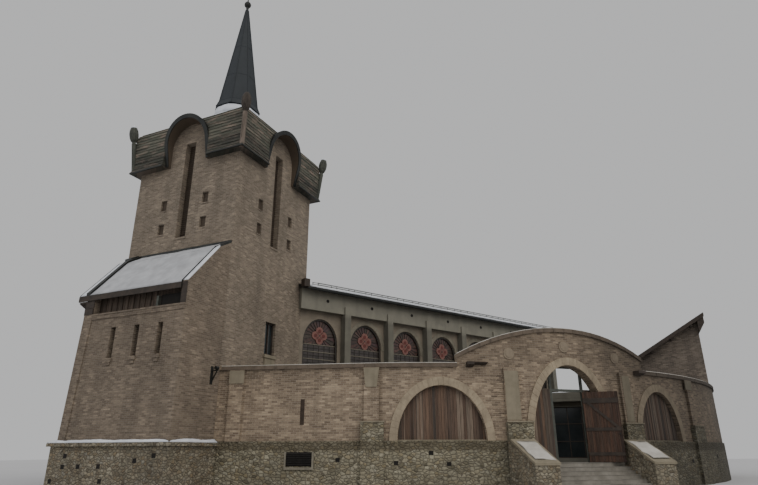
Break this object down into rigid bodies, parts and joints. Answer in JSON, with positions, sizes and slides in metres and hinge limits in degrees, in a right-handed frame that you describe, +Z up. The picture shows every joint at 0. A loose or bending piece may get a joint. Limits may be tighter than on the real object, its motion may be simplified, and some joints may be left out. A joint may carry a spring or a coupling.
{
  "type": "modern church building",
  "caption": "Brick church with a square tower, plank crown, faceted spire, long nave with arched windows, and a curved courtyard wall with arches and a gate that turns.",
  "frame": {"origin": "centre of the bounding box on the ground", "axes": "+Z up; +X along the straight part of the courtyard wall, away from the tower; -Y towards the street"},
  "size_m": [36.5046, 34.3524, 31.5],
  "materials": {
    "brick": "brick masonry",
    "rubble": "rubble masonry",
    "stone": "worn stone",
    "concrete": "rendered concrete",
    "planks": "stained planks",
    "timber": "stained timber",
    "shingles": "weathered shingles",
    "roof_metal": "dark sheet metal",
    "spire_metal": "dark sheet metal",
    "glass": "dark glazing"
  },
  "bodies": {
    "building": {"tower_front_wall": "brick", "tower_back_wall": "brick", "tower_right_wall": "brick", "tower_left_wall": "brick", "tower_low_window": "glass", "crown_roof_back_right": "shingles", "corner_post_back_right": "timber", "crown_roof_back_left": "shingles", "corner_post_back_left": "timber", "crown_roof_front_left": "shingles", "corner_post_front_left": "timber", "crown_roof_front_right": "shingles", "corner_post_front_right": "timber", "gable_roof_front": "roof_metal", "gable_roof_right": "roof_metal", "gable_roof_back": "roof_metal", "gable_roof_left": "roof_metal", "spire": "spire_metal", "spire_ball": "roof_metal", "lean_to_front_wall": "brick", "lean_to_right_wall": "brick", "lean_to_left_wall": "brick", "lean_to_eave_band": "timber", "lean_to_roof": "roof_metal", "lean_to_plinth": "rubble", "nave_front_wall": "concrete", "nave_back_wall": "concrete", "nave_front_frame": "concrete", "nave_back_frame": "concrete", "nave_front_glass": "glass", "nave_back_glass": "glass", "nave_tower_end_wall": "concrete", "nave_far_end_wall": "concrete", "nave_roof": "roof_metal", "courtyard_wall_left": "brick", "courtyard_left_arch": "brick", "courtyard_wall_beside_entrance_left": "brick", "entrance_arch": "brick", "courtyard_wall_beside_entrance_right": "brick", "courtyard_right_arch": "brick", "courtyard_wall_right": "brick", "plinth_left": "rubble", "plinth_right": "rubble", "left_arch_planks": "planks", "right_arch_planks": "planks", "entrance_steps": "stone", "steps_cheek_left": "rubble", "steps_cheek_right": "rubble", "gate_frame": "timber", "gate_side_panel_left": "planks", "gate_side_panel_right": "planks", "wing_walls": "brick", "wing_roof": "roof_metal", "hall_front_wall": "concrete", "hall_back_wall": "concrete", "hall_glass": "glass", "hall_roof": "concrete"},
    "leaf": {"gate_leaf": "planks"}
  },
  "joints": [
    {"name": "gate_hinge", "type": "hinge", "parent": "building", "child": "leaf", "pos_m": [5.79749, -11.37638, 2.5], "axis": [0, 0, 1], "range_deg": [-142, 0]}
  ]
}
